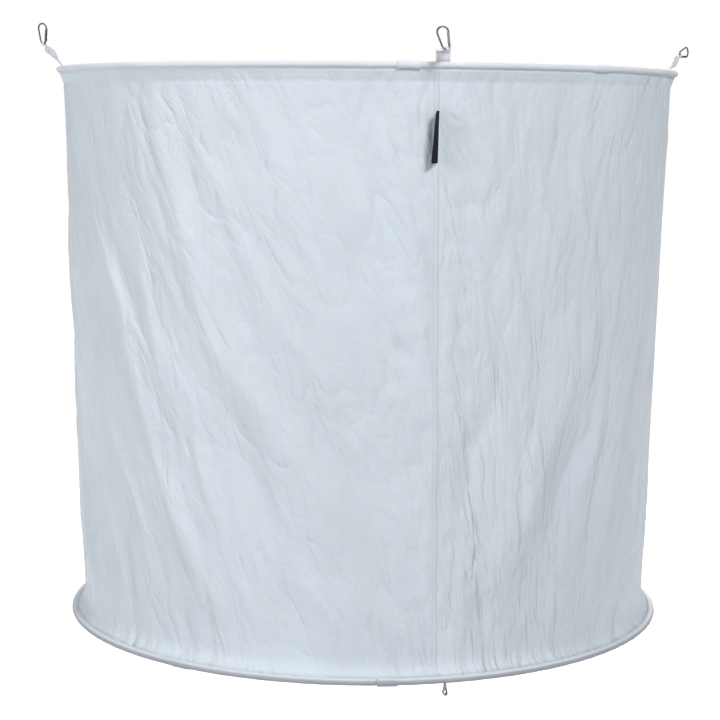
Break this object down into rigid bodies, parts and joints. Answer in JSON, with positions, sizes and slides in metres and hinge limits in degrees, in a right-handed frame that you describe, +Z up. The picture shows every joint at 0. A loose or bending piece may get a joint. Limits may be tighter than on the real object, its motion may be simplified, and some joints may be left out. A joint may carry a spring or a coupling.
{
  "type": "space light softbox",
  "caption": "Round white cloth skirt between two sewn-in spring hoops, closed below by a diffusion cloth and hung by webbing straps with snap hooks.",
  "frame": {"origin": "centre of the upper hoop, on the line through the middle of its rod, which is the point that the hooks hold", "axes": "+Z up along the skirt's axis, -Y towards the viewer of the picture, +X to the viewer's right"},
  "size_m": [1.2623, 1.3005, 1.1642],
  "materials": {
    "skirt_cloth": "fine white nylon",
    "sleeve_cloth": "white binding tape",
    "webbing": "woven, matte",
    "label_cloth": "woven, matte",
    "spring_steel": "bright wire",
    "hook_steel": "dark nickel"
  },
  "bodies": {
    "upper_frame": {"upper_hoop_rod": "spring_steel", "upper_hoop_ferrule": "spring_steel", "upper_hoop_sleeve": "sleeve_cloth", "upper_flange": "skirt_cloth", "skirt_wall": "skirt_cloth", "seam_tape": "skirt_cloth", "label": "label_cloth", "strap_tab_front": "webbing", "strap_tab_right": "webbing", "strap_tab_rear": "webbing", "strap_tab_left": "webbing"},
    "lower_frame": {"lower_hoop_rod": "spring_steel", "lower_hoop_ferrule": "spring_steel", "lower_hoop_sleeve": "sleeve_cloth", "lower_flange": "skirt_cloth", "bottom_cloth": "skirt_cloth"},
    "pull_loop": {"pull_loop": "webbing"},
    "strap_front": {"strap_front": "webbing"},
    "hook_front": {"snap_hook_front": "hook_steel", "gate_pin_front": "hook_steel"},
    "gate_front": {"hook_gate_front": "hook_steel"},
    "strap_right": {"strap_right": "webbing"},
    "hook_right": {"snap_hook_right": "hook_steel", "gate_pin_right": "hook_steel"},
    "gate_right": {"hook_gate_right": "hook_steel"},
    "strap_rear": {"strap_rear": "webbing"},
    "hook_rear": {"snap_hook_rear": "hook_steel", "gate_pin_rear": "hook_steel"},
    "gate_rear": {"hook_gate_rear": "hook_steel"},
    "strap_left": {"strap_left": "webbing"},
    "hook_left": {"snap_hook_left": "hook_steel", "gate_pin_left": "hook_steel"},
    "gate_left": {"hook_gate_left": "hook_steel"}
  },
  "joints": [
    {"name": "skirt_collapse", "type": "slide", "parent": "upper_frame", "child": "lower_frame", "axis": [0, 0, 1], "range_m": [0, 0.85], "deforming": ["skirt_wall", "seam_tape"]},
    {"name": "pull_loop_swing", "type": "hinge", "parent": "lower_frame", "child": "pull_loop", "pos_m": [0.14321, -0.56183, -1.0587], "axis": [0.247, -0.969, 0], "range_deg": [-75, 75]},
    {"name": "strap_swing_front", "type": "hinge", "parent": "upper_frame", "child": "strap_front", "pos_m": [0.12441, -0.5754, 0.00619], "axis": [0.9774, 0.2113, 0], "range_deg": [-177, 13]},
    {"name": "hook_swing_front", "type": "hinge", "parent": "strap_front", "child": "hook_front", "pos_m": [0.12907, -0.63041, 0.02398], "axis": [0.9052, 0.1983, 0.376], "range_deg": [-21, 179]},
    {"name": "gate_open_front", "type": "hinge", "parent": "hook_front", "child": "gate_front", "pos_m": [0.13249, -0.62885, 0.03129], "axis": [0.1585, -0.9782, 0.1342], "range_deg": [0, 25], "stiffness_Nm_per_rad": 0.005, "springref_deg": -5.73},
    {"name": "strap_swing_right", "type": "hinge", "parent": "upper_frame", "child": "strap_right", "pos_m": [0.58814, 0.02568, 0.00619], "axis": [-0.0436, 0.999, 0], "range_deg": [-150, 27]},
    {"name": "hook_swing_right", "type": "hinge", "parent": "strap_right", "child": "hook_right", "pos_m": [0.62112, 0.05874, 0.04059], "axis": [0.3501, 0.4847, -0.8016], "range_deg": [-92, 108]},
    {"name": "gate_open_right", "type": "hinge", "parent": "hook_right", "child": "gate_right", "pos_m": [0.62488, 0.06401, 0.03822], "axis": [0.8162, -0.5777, 0.0071], "range_deg": [0, 25], "stiffness_Nm_per_rad": 0.005, "springref_deg": -5.73},
    {"name": "strap_swing_rear", "type": "hinge", "parent": "upper_frame", "child": "strap_rear", "pos_m": [-0.12641, 0.57496, 0.00619], "axis": [-0.9767, -0.2147, 0], "range_deg": [-187, 3]},
    {"name": "hook_swing_rear", "type": "hinge", "parent": "strap_rear", "child": "hook_rear", "pos_m": [-0.13875, 0.63106, 0.01426], "axis": [-0.9491, -0.2383, 0.2059], "range_deg": [-130, 70]},
    {"name": "gate_open_rear", "type": "hinge", "parent": "hook_rear", "child": "gate_rear", "pos_m": [-0.14664, 0.63574, 0.01299], "axis": [-0.0949, -0.4071, -0.9084], "range_deg": [0, 25], "stiffness_Nm_per_rad": 0.005, "springref_deg": -5.73},
    {"name": "strap_swing_left", "type": "hinge", "parent": "upper_frame", "child": "strap_left", "pos_m": [-0.57788, -0.11233, 0.00619], "axis": [0.1908, -0.9816, 0], "range_deg": [-145, 45]},
    {"name": "hook_swing_left", "type": "hinge", "parent": "strap_left", "child": "hook_left", "pos_m": [-0.60725, -0.14112, 0.04709], "axis": [0.8303, -0.5017, 0.2429], "range_deg": [-62, 138]},
    {"name": "gate_open_left", "type": "hinge", "parent": "hook_left", "child": "gate_left", "pos_m": [-0.60345, -0.14396, 0.05331], "axis": [-0.4954, -0.8639, -0.0908], "range_deg": [0, 25], "stiffness_Nm_per_rad": 0.005, "springref_deg": -5.73}
  ]
}
